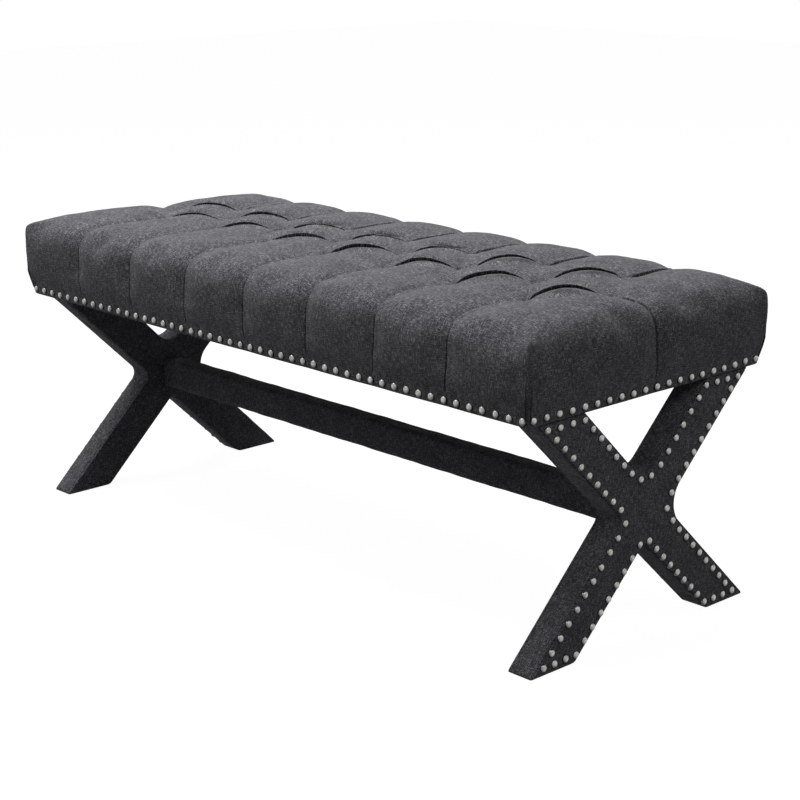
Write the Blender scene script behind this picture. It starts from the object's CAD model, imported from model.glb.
"""The looks of an upholstered bench: a diamond-tufted seat on two padded X frames joined by a stretcher.

Sizes are in millimetres and turn into metres where a mesh is made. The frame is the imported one: the origin is on
the floor under the middle of the seat, +X runs along the length to the right end, +Y to the rear and +Z up.
"""

import logging
import math
from collections.abc import Sequence
from dataclasses import dataclass, field
from enum import Enum

import bpy
import numpy as np
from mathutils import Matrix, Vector
from mathutils.geometry import delaunay_2d_cdt


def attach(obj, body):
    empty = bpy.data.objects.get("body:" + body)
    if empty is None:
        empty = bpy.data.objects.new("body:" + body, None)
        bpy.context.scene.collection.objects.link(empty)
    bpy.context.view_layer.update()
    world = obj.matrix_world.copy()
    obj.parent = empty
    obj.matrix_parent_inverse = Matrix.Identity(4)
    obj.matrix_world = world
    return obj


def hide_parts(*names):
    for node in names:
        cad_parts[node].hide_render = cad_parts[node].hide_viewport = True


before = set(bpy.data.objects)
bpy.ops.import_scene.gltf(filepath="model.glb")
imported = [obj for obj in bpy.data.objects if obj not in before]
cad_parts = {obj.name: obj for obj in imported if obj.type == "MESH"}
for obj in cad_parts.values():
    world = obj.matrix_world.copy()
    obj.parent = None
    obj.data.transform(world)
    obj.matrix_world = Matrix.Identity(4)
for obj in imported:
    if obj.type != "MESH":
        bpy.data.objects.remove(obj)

LOG = logging.getLogger("bench")
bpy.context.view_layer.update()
MM = 0.001
FOLD_INSIDE = "fold_inside"  # attribute: how deep in a fold the cloth lies
DULL_RIM = "dull_rim"  # attribute: how dull the plate of a nail is
CLOTH_MAP = "cloth"  # UV map of the fabric pieces, in metres along warp and weft
PHOTO_SIDE = 800  # pixels


# Small tools
def linear(colour: str) -> tuple[float, float, float, float]:
    """Turns an sRGB hex colour such as "#2b2b2c" into the linear one a shader takes."""
    shares = [int(colour[i : i + 2], 16) / 255 for i in (1, 3, 5)]
    return (*[s / 12.92 if s <= 0.04045 else ((s + 0.055) / 1.055) ** 2.4 for s in shares], 1.0)


def set_inputs(tree: bpy.types.NodeTree, node: bpy.types.Node, inputs: dict) -> None:
    """Fills a shader node's inputs.

    Args:
        tree: The node tree.
        node: The node.
        inputs: A value, an output or a node that stands for its first output, by input name or number.
    """
    for key, value in inputs.items():
        if isinstance(value, bpy.types.Node):
            value = value.outputs[0]
        if isinstance(value, bpy.types.NodeSocket):
            tree.links.new(value, node.inputs[key])
        else:
            node.inputs[key].default_value = value


def add_node(tree: bpy.types.NodeTree, kind: str, inputs: dict | None = None, **settings: object) -> bpy.types.Node:
    """Adds a shader node with its settings and links.

    Args:
        tree: The node tree it goes into.
        kind: The node's type, without its ShaderNode prefix.
        inputs: As for set_inputs.
        settings: Properties of the node. "stops" fills a colour ramp with (place, hex colour) pairs.

    Returns:
        The new node.
    """
    node = tree.nodes.new("ShaderNode" + kind)
    stops = settings.pop("stops", None)
    for name, value in settings.items():
        setattr(node, name, value)
    if stops:
        ramp = node.color_ramp
        while len(ramp.elements) < len(stops):
            ramp.elements.new(1.0)
        for element, (place, colour) in zip(ramp.elements, stops):
            element.position = place
            element.color = linear(colour)
    set_inputs(tree, node, inputs or {})
    return node


def unit(vector: np.ndarray) -> np.ndarray:
    """Scales each vector to length one."""
    return vector / np.maximum(np.linalg.norm(vector, axis=-1, keepdims=True), 1e-9)


def ease(share: np.ndarray | float) -> np.ndarray:
    """Goes smoothly from 0 to 1 as share does."""
    share = np.clip(share, 0, 1)
    return share * share * (3 - 2 * share)


def bell(away: np.ndarray | float, width: float) -> np.ndarray:
    """Falls smoothly from 1 at no distance to about a third at the width."""
    return np.exp(-((away / width) ** 2))


def rounded_path(corners: Sequence[tuple[float, float, float]], closed: bool, step: float) -> np.ndarray:
    """Follows straight runs between corners, with an arc at each corner that has a radius.

    Args:
        corners: Two coordinates and the radius of each corner.
        closed: Whether the last corner joins the first.
        step: Wanted spacing of the points.

    Returns:
        Evenly spaced points, both ends included on an open path.
    """
    points = []
    count = len(corners)
    for i, (across, up, radius) in enumerate(corners):
        here = np.array((across, up), float)
        if radius <= 0 or (not closed and i in (0, count - 1)):
            points.append(here)
            continue
        back = unit(np.array(corners[i - 1][:2], float) - here)
        ahead = unit(np.array(corners[(i + 1) % count][:2], float) - here)
        half_angle = math.acos(np.clip(back @ ahead, -1, 1)) / 2
        centre = here + unit(back + ahead) * radius / math.sin(half_angle)
        start = here + back * radius / math.tan(half_angle) - centre
        end = here + ahead * radius / math.tan(half_angle) - centre
        first = math.atan2(start[1], start[0])
        turn = (math.atan2(end[1], end[0]) - first + math.pi) % (2 * math.pi) - math.pi
        for j in range(25):
            angle = first + turn * j / 24
            points.append(centre + radius * np.array((math.cos(angle), math.sin(angle))))
    if closed:
        points.append(points[0])
    path = np.array(points)
    run = np.concatenate([[0], np.cumsum(np.linalg.norm(np.diff(path, axis=0), axis=1))])
    stops = np.linspace(0, run[-1], max(2, round(run[-1] / step) + 1))
    if closed:
        stops = stops[:-1]
    return np.stack([np.interp(stops, run, path[:, i]) for i in (0, 1)], axis=1)


def random_waves(places: np.ndarray, seed: int, longest: float, shortest: float, count: int = 12) -> np.ndarray:
    """Gives each place a smooth random height of about -1 to 1.

    Args:
        places: The places, one row each.
        seed: Picks the pattern.
        longest: The longest wave.
        shortest: The shortest wave.
        count: How many waves are added up.

    Returns:
        One height for each place.
    """
    random = np.random.default_rng(seed)
    total = np.zeros(len(places))
    for _ in range(count):
        direction = unit(random.normal(size=places.shape[1]))
        length = math.exp(random.uniform(math.log(shortest), math.log(longest)))
        total += np.sin(places @ direction * 2 * math.pi / length + random.uniform(0, 2 * math.pi))
    return total / math.sqrt(count)


def face_normals(vertices: np.ndarray, faces: Sequence[np.ndarray]) -> np.ndarray:
    """Averages the normals of the faces round each vertex.

    Args:
        vertices: One row each.
        faces: Arrays of vertex numbers, each of one face size.

    Returns:
        A normal of length one for each vertex.
    """
    total = np.zeros_like(vertices)
    for group in faces:
        corners = vertices[group]
        normal = np.cross(corners[:, 2] - corners[:, 0], corners[:, -1] - corners[:, 1])
        if group.shape[1] == 3:
            normal = np.cross(corners[:, 1] - corners[:, 0], corners[:, 2] - corners[:, 0])
        for i in range(group.shape[1]):
            np.add.at(total, group[:, i], normal)
    return unit(total)


def make_piece(
    name: str, vertices: np.ndarray, faces: Sequence[np.ndarray], flat: np.ndarray | None = None
) -> bpy.types.Object:
    """Makes an object of vertices in millimetres.

    Args:
        name: The piece's name.
        vertices: One row each.
        faces: Arrays of vertex numbers, each of one face size.
        flat: Where each face corner lies on the flat cloth, in the order of the faces.

    Returns:
        The object, smooth shaded.
    """
    mesh = bpy.data.meshes.new(name)
    sizes = np.concatenate([np.full(len(group), group.shape[1]) for group in faces])
    corners = np.concatenate([group.ravel() for group in faces])
    mesh.vertices.add(len(vertices))
    mesh.vertices.foreach_set("co", (vertices * MM).astype(np.float32).ravel())
    mesh.loops.add(len(corners))
    mesh.loops.foreach_set("vertex_index", corners.astype(np.int32))
    mesh.polygons.add(len(sizes))
    mesh.polygons.foreach_set("loop_start", np.concatenate([[0], np.cumsum(sizes)[:-1]]).astype(np.int32))
    mesh.update(calc_edges=True)
    if flat is not None:
        layer = mesh.uv_layers.new(name=CLOTH_MAP)
        layer.data.foreach_set("uv", (flat * MM).astype(np.float32).ravel())
    mesh.validate()
    mesh.shade_smooth()
    return add_object(name, mesh)


def add_object(name: str, data: bpy.types.ID) -> bpy.types.Object:
    """Puts a mesh, lamp or camera into the scene."""
    added = bpy.data.objects.new(name, data)
    bpy.context.scene.collection.objects.link(added)
    return added


def read_points(mesh: bpy.types.Mesh) -> np.ndarray:
    """Reads a mesh's vertices in millimetres."""
    points = np.zeros(len(mesh.vertices) * 3, np.float32)
    mesh.vertices.foreach_get("co", points)
    return points.reshape(-1, 3) / MM


def add_attribute(mesh: bpy.types.Mesh, name: str, values: np.ndarray) -> None:
    """Gives each vertex a number that a finish reads."""
    mesh.attributes.new(name, "FLOAT", "POINT").data.foreach_set("value", values.astype(np.float32).ravel())


def model_round(
    sides: int, radius: float, rings: Sequence[tuple[float, float]], angle: float, low: float = 0.0, crown: float = 0.0
) -> bpy.types.Object:
    """Models a round form: a disc that is extruded ring by ring.

    Args:
        sides: How many sides the disc has.
        radius: The disc's radius.
        rings: Taper and rise of each ring.
        angle: Edges sharper than this, in degrees, stay sharp.
        low: Height of the disc.
        crown: How far the middle of the last ring is raised to a point.

    Returns:
        The form, with its origin at the world's.
    """
    bpy.ops.object.select_all(action="DESELECT")
    bpy.ops.mesh.primitive_circle_add(vertices=sides, radius=radius * MM, fill_type="NGON", location=(0, 0, low * MM))
    bpy.ops.object.mode_set(mode="EDIT")
    bpy.ops.mesh.select_all(action="SELECT")
    for taper, rise in rings:
        bpy.ops.mesh.extrude_region_move(TRANSFORM_OT_translate={"value": (0, 0, rise * MM)})
        bpy.ops.transform.resize(value=(taper, taper, 1))
    if crown:
        bpy.ops.mesh.poke(offset=crown * MM)
    bpy.ops.mesh.select_all(action="SELECT")
    bpy.ops.mesh.normals_make_consistent(inside=False)
    bpy.ops.object.mode_set(mode="OBJECT")
    bpy.ops.object.transform_apply(location=True, rotation=False, scale=False)
    bpy.ops.object.shade_smooth_by_angle(angle=math.radians(angle))
    return bpy.context.object


def copy_to(model: bpy.types.Object, place: Vector) -> bpy.types.Object:
    """Copies a model, with its own mesh, to a place in millimetres."""
    copy = add_object(model.name, model.data.copy())
    copy.location = place * MM
    return copy


def join(copies: Sequence[bpy.types.Object], name: str) -> bpy.types.Object:
    """Joins copies into one piece that lies at the origin."""
    bpy.ops.object.select_all(action="DESELECT")
    for copy in copies:
        copy.select_set(True)
    bpy.context.view_layer.objects.active = copies[0]
    bpy.ops.object.join()
    piece = bpy.context.object
    bpy.ops.object.transform_apply(location=True, rotation=True, scale=True)
    piece.name = piece.data.name = name
    return piece


def triangulate(points: np.ndarray, outline: np.ndarray | None = None) -> tuple[np.ndarray, np.ndarray, np.ndarray]:
    """Joins flat points into well-shaped triangles.

    Args:
        points: Two coordinates each.
        outline: Numbers of the points round the edge in order, or None where the edge is convex.

    Returns:
        The points, the triangles, and the new number of each point given.
    """
    edges = [] if outline is None else [(int(a), int(b)) for a, b in zip(outline, np.roll(outline, -1))]
    kind = 0 if outline is None else 1
    flat, _, faces, origins, _, _ = delaunay_2d_cdt([Vector(p) for p in points], edges, [], kind, 1e-5)
    renumbered = np.zeros(len(points), int)
    for new, olds in enumerate(origins):
        renumbered[list(olds)] = new
    flat, faces = np.array([(p.x, p.y) for p in flat]), np.array(faces)
    a, b = flat[faces[:, 1]] - flat[faces[:, 0]], flat[faces[:, 2]] - flat[faces[:, 0]]
    between_points_in_line = np.abs(a[:, 0] * b[:, 1] - a[:, 1] * b[:, 0]) <= 0.02
    return flat, faces[~between_points_in_line], renumbered


def crossings(first: np.ndarray, second: np.ndarray) -> np.ndarray:
    """Gives the crossings of two sets of grid lines, as a grid of places."""
    return np.stack(np.meshgrid(first, second, indexing="ij"), axis=2)


def staggered_grid(low: Sequence[float], high: Sequence[float], spacing: float) -> np.ndarray:
    """Spreads points evenly over a rectangle, every second row half a step on."""
    grid = crossings(np.arange(low[0], high[0], spacing), np.arange(low[1], high[1], spacing * 0.87))
    grid[:, ::2, 0] += spacing / 2
    return grid.reshape(-1, 2)


def grid_quads(grid: np.ndarray) -> np.ndarray:
    """Gives the four corners of each cell of a grid of vertex numbers or places."""
    corners = [grid[:-1, :-1], grid[1:, :-1], grid[1:, 1:], grid[:-1, 1:]]
    return np.stack(corners, axis=2).reshape(-1, 4, *grid.shape[2:])


def ring_quads(rings: Sequence[np.ndarray]) -> np.ndarray:
    """Joins each closed ring of vertex numbers to the next one."""
    pairs = zip(rings, rings[1:])
    return np.concatenate([np.stack([a, b, np.roll(b, -1), np.roll(a, -1)], axis=1) for a, b in pairs])


def depth_in(spots: np.ndarray, path: np.ndarray) -> np.ndarray:
    """Measures how far each spot is from a closed outline."""
    nearest = np.full(len(spots), np.inf)
    for start, end in zip(path, np.roll(path, -1, axis=0)):
        run = end - start
        share = np.clip((spots - start) @ run / (run @ run), 0, 1)
        nearest = np.minimum(nearest, np.linalg.norm(spots - start - share[:, None] * run, axis=1))
    return nearest


# Finishes
class Grain(Enum):
    """Which way the grain of a timber piece runs."""

    ALONG_X = (0.05, 1.0, 1.0)
    ALONG_Y = (1.0, 0.05, 1.0)
    RISING = (1.0, 1.0, 0.08)


@dataclass(frozen=True)
class Finish:
    """A finish: each kind dresses the same plain shader in its own way."""

    name: str

    def material(self) -> bpy.types.Material:
        """Makes the material, or gives back the one made before."""
        made = bpy.data.materials.get(self.name)
        if made:
            return made
        made = bpy.data.materials.new(self.name)
        made.use_nodes = True
        made.node_tree.nodes.clear()
        shader = add_node(made.node_tree, "BsdfPrincipled")
        add_node(made.node_tree, "OutputMaterial", {"Surface": shader})
        self.dress(made.node_tree, shader)
        return made

    def dress(self, tree: bpy.types.NodeTree, shader: bpy.types.Node) -> None:
        """Each finish gives the shader its colour, gloss and relief here."""
        raise NotImplementedError

    def put_on(self, piece: bpy.types.Object) -> None:
        """Makes this the only material of a piece."""
        piece.data.materials.clear()
        piece.data.materials.append(self.material())


@dataclass(frozen=True)
class Linen(Finish):
    """Polyester linen in a charcoal melange: matt, with lighter slubs along warp and weft."""

    deep: str = "#2c2c2f"
    ground: str = "#56565b"
    pale: str = "#646469"
    fleck: str = "#a2a2a7"
    hidden: str = "#0b0b0c"  # the cloth deep in a shut fold, where no slub catches the light
    slub_length: float = 9.0
    slub_width: float = 1.5  # a real slub is about 0.8 wide, too fine to show at this size
    thread: float = 1.5  # threads are 0.6 apart in the cloth: drawn coarser so that they show

    def dress(self, tree: bpy.types.NodeTree, shader: bpy.types.Node) -> None:
        """Speckles the cloth with slubs both ways and raises its threads."""
        cloth = add_node(tree, "UVMap", uv_map=CLOTH_MAP)
        slubs = []
        for length, width in ((self.slub_length, self.slub_width), (self.slub_width, self.slub_length)):
            place = add_node(tree, "Mapping", {"Vector": cloth, "Scale": (1000 / length, 1000 / width, 1)})
            noise = {"Vector": place, "Scale": 1.0, "Detail": 2.0}
            slubs.append(add_node(tree, "TexNoise", noise, noise_dimensions="2D"))
        threads = {"Vector": cloth, "Scale": 1000 / self.thread, "Detail": 1.0}
        grain = add_node(tree, "TexNoise", threads, noise_dimensions="2D")
        cloud = add_node(tree, "TexNoise", {"Vector": cloth, "Scale": 30.0, "Detail": 2.0}, noise_dimensions="2D")
        mixed = add_node(tree, "Math", {0: slubs[0], 1: slubs[1]}, operation="MAXIMUM")
        mixed = add_node(tree, "Math", {0: mixed, 1: 0.7}, operation="MULTIPLY")
        for noise, weight in ((grain, 0.32), (cloud, 0.1)):
            mixed = add_node(tree, "Math", {0: noise, 1: weight, 2: mixed}, operation="MULTIPLY_ADD")
        stops = [(0.49, self.deep), (0.585, self.ground), (0.65, self.pale), (0.76, self.fleck)]
        colour = add_node(tree, "ValToRGB", {"Fac": mixed}, stops=stops)
        inside = add_node(tree, "Attribute", attribute_name=FOLD_INSIDE).outputs["Fac"]
        shaded = add_node(tree, "MixRGB", {"Fac": inside, "Color1": colour, "Color2": linear(self.hidden)})
        bump = add_node(tree, "Bump", {"Height": mixed, "Strength": 0.5, "Distance": 0.0012})
        matt = {"Roughness": 0.92, "Specular IOR Level": 0.15, "Sheen Weight": 0.12, "Sheen Roughness": 0.6}
        set_inputs(tree, shader, {"Base Color": shaded, "Normal": bump} | matt)


@dataclass(frozen=True)
class Nickel(Finish):
    """Brushed nickel plate on pressed steel: bright on the crown of each head, dull round its rim."""

    colour: str = "#b4b3b0"
    shadow: str = "#92918e"
    dull: str = "#2e2d2c"
    roughness: float = 0.22
    mark: float = 4.0

    def dress(self, tree: bpy.types.NodeTree, shader: bpy.types.Node) -> None:
        """Varies the plate's colour and gloss a little from nail to nail."""
        place = add_node(tree, "TexCoord").outputs["Object"]
        noise = add_node(tree, "TexNoise", {"Vector": place, "Scale": 1000 / self.mark, "Detail": 3.0})
        bright = add_node(tree, "ValToRGB", {"Fac": noise}, stops=[(0.35, self.shadow), (0.65, self.colour)])
        rim = add_node(tree, "Attribute", attribute_name=DULL_RIM).outputs["Fac"]
        plate = add_node(tree, "MixRGB", {"Fac": rim, "Color1": bright, "Color2": linear(self.dull)})
        spread = {"To Min": self.roughness - 0.06, "To Max": self.roughness + 0.1}
        gloss = add_node(tree, "MapRange", {"Value": noise} | spread)
        bump = add_node(tree, "Bump", {"Height": noise, "Strength": 0.1, "Distance": 0.0002})
        set_inputs(tree, shader, {"Base Color": plate, "Roughness": gloss, "Normal": bump, "Metallic": 1.0})


@dataclass(frozen=True)
class Timber(Finish):
    """Planed softwood or rotary-cut veneer: pale bands of grain."""

    light: str = "#d9b98a"
    dark: str = "#b58a57"
    grain: Grain = Grain.ALONG_X
    ring: float = 6.0

    def dress(self, tree: bpy.types.NodeTree, shader: bpy.types.Node) -> None:
        """Draws growth rings out along the piece and fine pores over them."""
        place = add_node(tree, "TexCoord").outputs["Object"]
        drawn_out = add_node(tree, "Mapping", {"Vector": place, "Scale": self.grain.value})
        swirl = {"Vector": drawn_out, "Scale": 1000 / self.ring / 4, "Detail": 4.0, "Distortion": 1.2}
        rings = add_node(tree, "TexNoise", swirl)
        pores = add_node(tree, "TexNoise", {"Vector": drawn_out, "Scale": 900.0, "Detail": 2.0})
        mixed = add_node(tree, "Math", {0: pores, 1: 0.25, 2: rings}, operation="MULTIPLY_ADD")
        colour = add_node(tree, "ValToRGB", {"Fac": mixed}, stops=[(0.45, self.dark), (0.75, self.light)])
        bump = add_node(tree, "Bump", {"Height": pores, "Strength": 0.25, "Distance": 0.0004})
        set_inputs(tree, shader, {"Base Color": colour, "Normal": bump, "Roughness": 0.65})


@dataclass(frozen=True)
class Speckled(Finish):
    """A plain stuff with fine cells, fibres or moulded texture."""

    light: str = "#e9e2c8"
    dark: str = "#d6cca8"
    cell: float = 1.5
    roughness: float = 0.8
    metallic: float = 0.0
    relief: float = 0.4

    def dress(self, tree: bpy.types.NodeTree, shader: bpy.types.Node) -> None:
        """Gives the stuff its two tones and a fine relief."""
        place = add_node(tree, "TexCoord").outputs["Object"]
        cells = add_node(tree, "TexNoise", {"Vector": place, "Scale": 1000 / self.cell, "Detail": 3.0})
        colour = add_node(tree, "ValToRGB", {"Fac": cells}, stops=[(0.35, self.dark), (0.65, self.light)])
        bump = add_node(tree, "Bump", {"Height": cells, "Strength": self.relief, "Distance": self.cell * MM / 2})
        body = {"Roughness": self.roughness, "Metallic": self.metallic}
        set_inputs(tree, shader, {"Base Color": colour, "Normal": bump} | body)


LINEN = Linen("charcoal_melange_linen")
NICKEL = Nickel("brushed_nickel_plate")
TWINE = Speckled("waxed_flax_twine", light="#c9b48c", dark="#9c8558", cell=0.8)
DUST_CLOTH = Speckled("black_nonwoven_cambric", light="#26262a", dark="#131316", cell=1.2, roughness=0.95)


# The seat
@dataclass
class SeatSection:
    """Half of the seat's outline across one direction, from the crown round the side and in under the seat."""

    half_width: float
    shoulder: tuple[float, float, float]  # out from the hem line, height and radius
    crown: tuple[float, float] = (508.0, 510.0)  # height 60 in from the hem line and in the middle
    hem: float = 372.0
    widest_height: float = 456.0
    turn_under: float = 60.0

    def __post_init__(self) -> None:
        """Traces the outline once."""
        side = [
            (-60, self.crown[0], 200),
            self.shoulder,
            (10.6, self.widest_height, 80),
            (9.0, self.hem + 46, 60),
            (1.3, self.hem + 10, 16),
            (0, self.hem, 2.5),
            (-self.turn_under, self.hem, 0),
        ]
        corners = [(0, self.crown[1], 0), *[(self.half_width + out, z, radius) for out, z, radius in side]]
        outline = rounded_path(corners, False, 0.5)
        self.across, self.height = outline[:, 0], outline[:, 1]
        self.run = np.arange(len(outline)) * np.linalg.norm(outline[60] - outline[59])
        self.widest = float(self.run[np.argmax(self.across)])
        self.length = float(self.run[-1])

    def at(self, run: np.ndarray | float) -> tuple[np.ndarray, np.ndarray]:
        """Gives the distance from the middle and the height at a run along the outline."""
        return np.interp(run, self.run, self.across), np.interp(run, self.run, self.height)


@dataclass
class SeatSide:
    """The seat's outline across one direction: round in the middle of a side, tight where it nears a corner."""

    half_width: float
    blend: float = 80.0  # the corner stiffens the outline from this far away
    reach_in: float = 110.0  # the two outlines meet this far in from the side

    def __post_init__(self) -> None:
        """Traces the two outlines."""
        self.soft = SeatSection(self.half_width, (9.8, 503.0, 40))
        self.tight = SeatSection(self.half_width, (9.8, 500.5, 11))
        self.reach = self.soft.widest
        self.side_run = self.soft.length - self.soft.widest

    def at(self, net: np.ndarray, firmness: np.ndarray) -> tuple[np.ndarray, np.ndarray]:
        """Gives the distance from the middle and the height at places of the flat cloth.

        Args:
            net: Distances from the middle along the cloth.
            firmness: 0 for the soft outline, 1 for the tight one.

        Returns:
            Distances from the middle and heights in space.
        """
        inward = self.reach - net
        spare = self.tight.widest - self.reach
        stretched = np.minimum(inward * (1 + spare / self.reach_in), inward + spare)
        tight_run = self.tight.widest - np.where(inward > 0, stretched, inward)
        soft, tight = self.soft.at(net), self.tight.at(tight_run)
        return tuple(a + (b - a) * firmness for a, b in zip(soft, tight))


@dataclass
class Pleat:
    """A fold of the cover from one place of the flat cloth to another."""

    start: tuple[float, float]
    end: tuple[float, float]
    gap: float = 0.0  # how far its mouth stands open
    opens: tuple[float, float] = (0.0, 1.0)  # shares of its length between which it does
    straight: bool = False  # runs over the edge of the seat
    sharp: float = 1.0  # how strongly its line shows
    rise: float = 0.0  # how far its open mouth arches over its ends
    ridge: float = 1.0  # how far one side stands over the other on the top

    def measure(self, net: np.ndarray) -> tuple[np.ndarray, np.ndarray, np.ndarray]:
        """Measures places against the pleat.

        Args:
            net: Places on the flat cloth.

        Returns:
            Share of the pleat's length, signed distance across it, and distance to it.
        """
        origin, end = np.array(self.start), np.array(self.end)
        length = np.linalg.norm(end - origin)
        along = (end - origin) / length
        offset = net - origin
        run = offset @ along
        across = offset @ np.array((-along[1], along[0]))
        beyond = np.maximum(np.maximum(-run, run - length), 0)
        return run / length, across, np.hypot(across, beyond)


@dataclass
class TuftedSeat:
    """The cover of the seat with its wadding and foam: 22 blind tufts, pleats between them and over the edges."""

    length: float = 1219.0
    depth: float = 508.0
    columns: int = 8
    corner_radius: float = 8.0
    mitre: float = 6.0
    tuft_depth: float = 8.0
    pleat_depth: float = 3.0
    edge_pleat_depth: float = 6.0
    pillow_reach: float = 55.0
    shoulder_draw: float = 3.5  # how much deeper the pleats are drawn in where they round the shoulder
    round_start: float = 46.0  # which is this far in from the widest line, along the cloth
    # Hand-tied: no row of tufts is quite straight
    front_row: tuple[float, ...] = (80.0, 82.0, 88.0, 92.0, 89.0, 100.0, 102.0)
    middle_row: tuple[float, ...] = (0.0, 0.0, 0.0, 0.0, -4.0, 10.0, 0.0, 0.0)
    rear_row: tuple[float, ...] = (92.0, 92.0, 92.0, 92.0, 92.0, 102.0, 118.0)
    # How wide the mouths of the pleats stand open, and how high they arch over their ends
    front_gaps: tuple[float, ...] = (3.8, 3.8, 6.5, 4.6, 4.0, 4.0, 3.8)
    rear_gaps: tuple[float, ...] = (3.4, 4.8, 3.4, 2.8, 2.6, 2.8, 3.4)
    front_rises: tuple[float, ...] = (3.5, 5.0, 2.5, 6.0, 6.0, 7.0, 8.5)
    rear_rises: tuple[float, ...] = (5.0, 4.0, 3.0, 3.0, 3.0, 8.5, 8.0)
    end_pleat: float = 8.0  # the pleats over the ends run a little to the rear of the middle
    pleat_end: float = 22.0  # and end this far above the hem
    nailed: float = 26.0  # the nails hold the cover from this far above the hem
    nail_counts: tuple[int, int] = (48, 20)  # along a long side and an end
    nail_margin: float = 8.5  # from the corner to the first nail
    hem_radius: float = 3.0  # the corners are tighter down at the hem
    # The net of the cloth: its spacing, rows beside shut pleats and open ones, rings round a tuft with their counts
    spacing: float = 4.4
    seam_rows: tuple[float, ...] = (0, 0.5, 1.0, 1.6, 2.4, 3.6, 5.5, 8.0)
    lip_rows: tuple[float, ...] = (
        -14, -10.5, -7.5, -5.2, -3.6, -2.5, -1.6, -0.8, 0, 0.6, 1.2, 1.7, 2.2, 2.7, 3.2, 3.7, 4.3, 5.4, 7.5, 10.5, 14
    )  # fmt: skip
    tuft_rings: tuple[tuple[float, int], ...] = (
        (0, 1), (1.6, 6), (3.2, 10), (4.8, 14), (6.6, 18), (8.6, 22), (11, 26), (13.5, 32), (16.5, 38), (20, 44)
    )  # fmt: skip
    coarse: float = 7.5  # spacing of the net that swells
    box: tuple[float, float, float, float] = (604.5, 249.0, 374.0, 451.2)  # timber box inside: x, y, low and high z
    # How the fill lies at each corner, front left, front right, rear left, rear right, and how far the very tip sinks
    settled: tuple[float, ...] = (8.0, 3.0, -7.0, 5.0)
    corner_sink: tuple[float, ...] = (4.0, 7.0, 4.0, 13.0)
    room: float = 3.0  # the cover is laid this much smaller, because it swells
    pressure: float = 3.2
    swell_frames: int = 20
    swell_cap: float = 8.0  # no place may move further
    calming: int = 3  # passes that even out the swelling between neighbours
    arch_reach: float = 42.0  # the cloth rises with the mouth as far away as this

    def __post_init__(self) -> None:
        """Works out the two sections, the tufts and the pleats."""
        self.long_side = SeatSide(self.length / 2)
        self.short_side = SeatSide(self.depth / 2)
        self.reach_u = self.long_side.reach
        self.reach_v = self.short_side.reach
        self.side_run = self.long_side.side_run
        self.hem = self.long_side.soft.hem
        self.hem_run = self.side_run - self.long_side.soft.turn_under
        pitch = self.length / self.columns
        self.ends = [(i - (self.columns - 2) / 2) * pitch for i in range(self.columns - 1)]
        self.middles = [(i - (self.columns - 1) / 2) * pitch for i in range(self.columns)]
        front = [(u, -row) for u, row in zip(self.ends, self.front_row)]
        middle = [(u, -row) for u, row in zip(self.middles, self.middle_row)]
        rear = [(u, row) for u, row in zip(self.ends, self.rear_row)]
        self.tufts = front + middle + rear
        edge = self.reach_v + self.hem_run - self.pleat_end
        self.pleats: list[Pleat] = []
        for i, u in enumerate(self.ends):
            self.pleats += [
                Pleat(front[i], middle[i + 1], self.front_gaps[i], (0.02, 0.9), rise=self.front_rises[i]),
                Pleat(middle[i], rear[i], self.rear_gaps[i], (0.22, 1.0), rise=self.rear_rises[i]),
                Pleat(front[i], middle[i]),
                Pleat(rear[i], middle[i + 1]),
                Pleat(front[i], (u, -edge), straight=True, sharp=0.4 + 0.1 * i),
                Pleat(rear[i], (u, edge), straight=True, sharp=0.9 if u > 400 else 0.45),
            ]
        end = self.reach_u + edge - self.reach_v
        for side in (-1, 1):
            start = (side * self.middles[-1], self.end_pleat)
            self.pleats.append(Pleat(start, (side * end, self.end_pleat), straight=True, ridge=0.3))

    def place(self, net: np.ndarray) -> np.ndarray:
        """Lays places of the flat cloth on the seat before it is tufted.

        Args:
            net: Places on the flat cloth, whose middle is over the middle of the seat.

        Returns:
            Their points in space.
        """
        u, v = np.abs(net[:, 0]), np.abs(net[:, 1])
        below = np.maximum(np.maximum(u - self.reach_u, v - self.reach_v), 0)
        firm_x = ease((v - self.reach_v + self.long_side.blend) / self.long_side.blend)
        firm_y = ease((u - self.reach_u + self.long_side.blend) / self.long_side.blend)
        x, x_height = self.long_side.at(np.minimum(u, self.reach_u), firm_x)
        y, y_height = self.short_side.at(np.minimum(v, self.reach_v), firm_y)
        crown = self.long_side.soft.crown[1]
        sunk = ((crown - x_height) ** self.mitre + (crown - y_height) ** self.mitre) ** (1 / self.mitre)
        z = crown - sunk
        width, height = self.long_side.soft.at(self.reach_u + below)
        widest, high = self.long_side.soft.at(self.reach_u)
        deepest = self.short_side.soft.at(self.reach_v)[0]
        half_x, half_y = width, deepest + width - widest
        x = x * half_x / widest
        y = y * half_y / deepest
        z = np.where(below > 0, self.hem + (z - self.hem) * (height - self.hem) / (high - self.hem), z)
        z += self.sag(net[:, 0], net[:, 1]) * ease((z - self.hem - 40) / 100)
        radius = self.hem_radius + (self.corner_radius - self.hem_radius) * ease((z - self.hem - 10) / 60)
        into_x = np.clip((x - half_x + radius) / radius, 0, 1)
        into_y = np.clip((y - half_y + radius) / radius, 0, 1)
        corner = (into_x > 0) & (into_y > 0)
        x = np.where(corner, half_x - radius + radius * into_x * np.sqrt(1 - into_y**2 / 2), x)
        y = np.where(corner, half_y - radius + radius * into_y * np.sqrt(1 - into_x**2 / 2), y)
        return np.stack([np.sign(net[:, 0]) * x, np.sign(net[:, 1]) * y, z], axis=1)

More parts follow.
